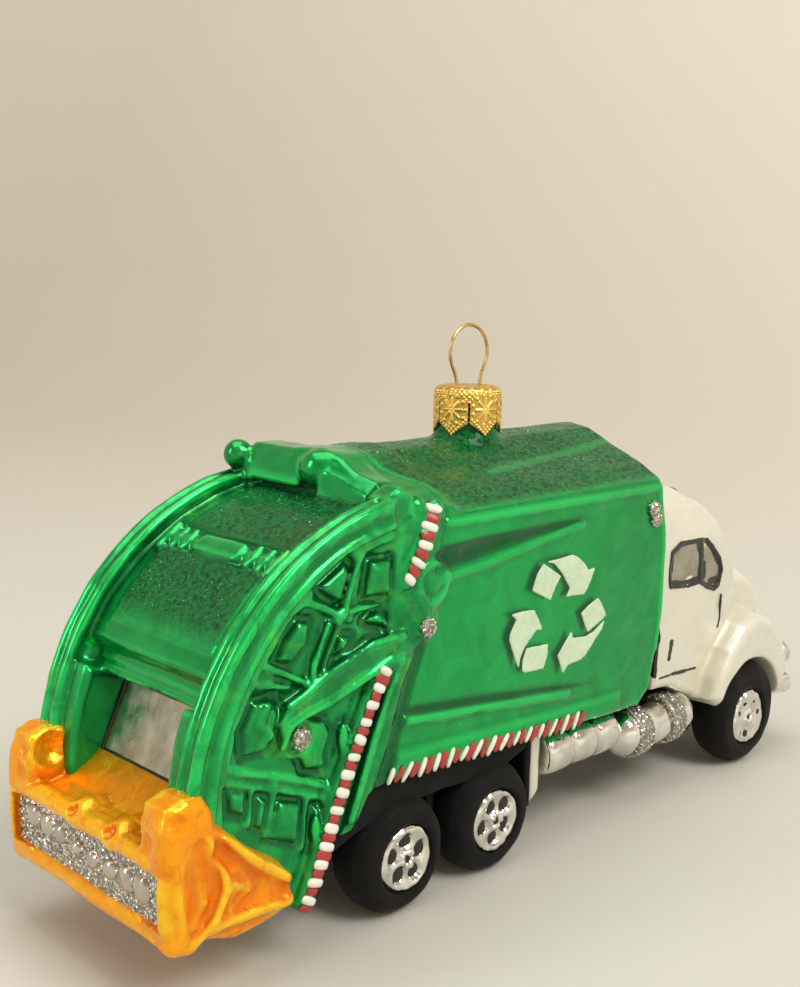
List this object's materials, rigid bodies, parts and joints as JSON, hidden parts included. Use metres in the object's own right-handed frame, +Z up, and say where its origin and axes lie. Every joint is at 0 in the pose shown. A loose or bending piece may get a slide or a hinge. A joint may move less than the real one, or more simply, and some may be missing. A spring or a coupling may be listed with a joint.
{
  "type": "refuse truck tree ornament",
  "caption": "Mould-blown glass tree ornament shaped as a rear-loading refuse truck, with a crimped metal crown cap and a wire hanging loop.",
  "frame": {"origin": "on the ground under the middle of the truck, at the bottom centre of the bounding box", "axes": "+X towards the cab, +Y to the truck's left, +Z up"},
  "size_m": [0.138, 0.0392, 0.0767],
  "materials": {
    "green_glass": "transparent green lacquer over silvered glass, glossy",
    "orange_glass": "amber orange lacquer over silvered glass, glossy",
    "white_glass": "pearly white paint on glass, glossy",
    "black_paint": "matt black paint on glass",
    "silvered_glass": "silvered glass, bright",
    "silver_glitter": "silver glitter",
    "window_mirror": "grey mirror paint with a black outline",
    "cap_metal": "gold anodised sheet, embossed",
    "hanger_wire": "bright drawn wire"
  },
  "bodies": {
    "truck": {"air_tank_left": "silvered_glass", "air_tank_right": "silvered_glass", "body_skirt_left": "green_glass", "body_skirt_right": "green_glass", "cab": "white_glass", "chassis": "black_paint", "door_left": "white_glass", "door_right": "white_glass", "front_bumper": "silvered_glass", "front_fender_left": "white_glass", "front_fender_right": "white_glass", "fuel_tank_left": "silvered_glass", "fuel_tank_right": "silvered_glass", "grille": "silvered_glass", "headlamp_left": "silvered_glass", "headlamp_right": "silvered_glass", "hood": "white_glass", "hopper": "orange_glass", "hopper_cheek_left": "orange_glass", "hopper_cheek_right": "orange_glass", "hopper_knobs": "orange_glass", "hub_front_left": "silvered_glass", "hub_front_right": "silvered_glass", "hub_middle_left": "silvered_glass", "hub_middle_right": "silvered_glass", "hub_rear_left": "silvered_glass", "hub_rear_right": "silvered_glass", "mud_flap_left": "silvered_glass", "mud_flap_right": "silvered_glass", "packer_arm_left": "green_glass", "packer_arm_right": "green_glass", "rear_lamp_panel": "silver_glitter", "rear_lamps": "silvered_glass", "rear_window": "window_mirror", "refuse_body": "green_glass", "side_window_left": "window_mirror", "side_window_right": "window_mirror", "tail_rail_left": "green_glass", "tail_rail_right": "green_glass", "tailgate": "green_glass", "top_cross_bar": "green_glass", "tyre_front_left": "black_paint", "tyre_front_right": "black_paint", "tyre_middle_left": "black_paint", "tyre_middle_right": "black_paint", "tyre_rear_left": "black_paint", "tyre_rear_right": "black_paint", "windscreen": "window_mirror"},
    "crown_cap": {"cap": "cap_metal"},
    "wire": {"hanger": "hanger_wire"}
  },
  "joints": [
    {"name": "cap_lift", "type": "slide", "parent": "truck", "child": "crown_cap", "axis": [0, 0, 1], "range_m": [0, 0.02]},
    {"name": "wire_rock", "type": "hinge", "parent": "crown_cap", "child": "wire", "pos_m": [-0.00245, 0, 0.06775], "axis": [1, 0, 0], "range_deg": [-4, 4]}
  ]
}
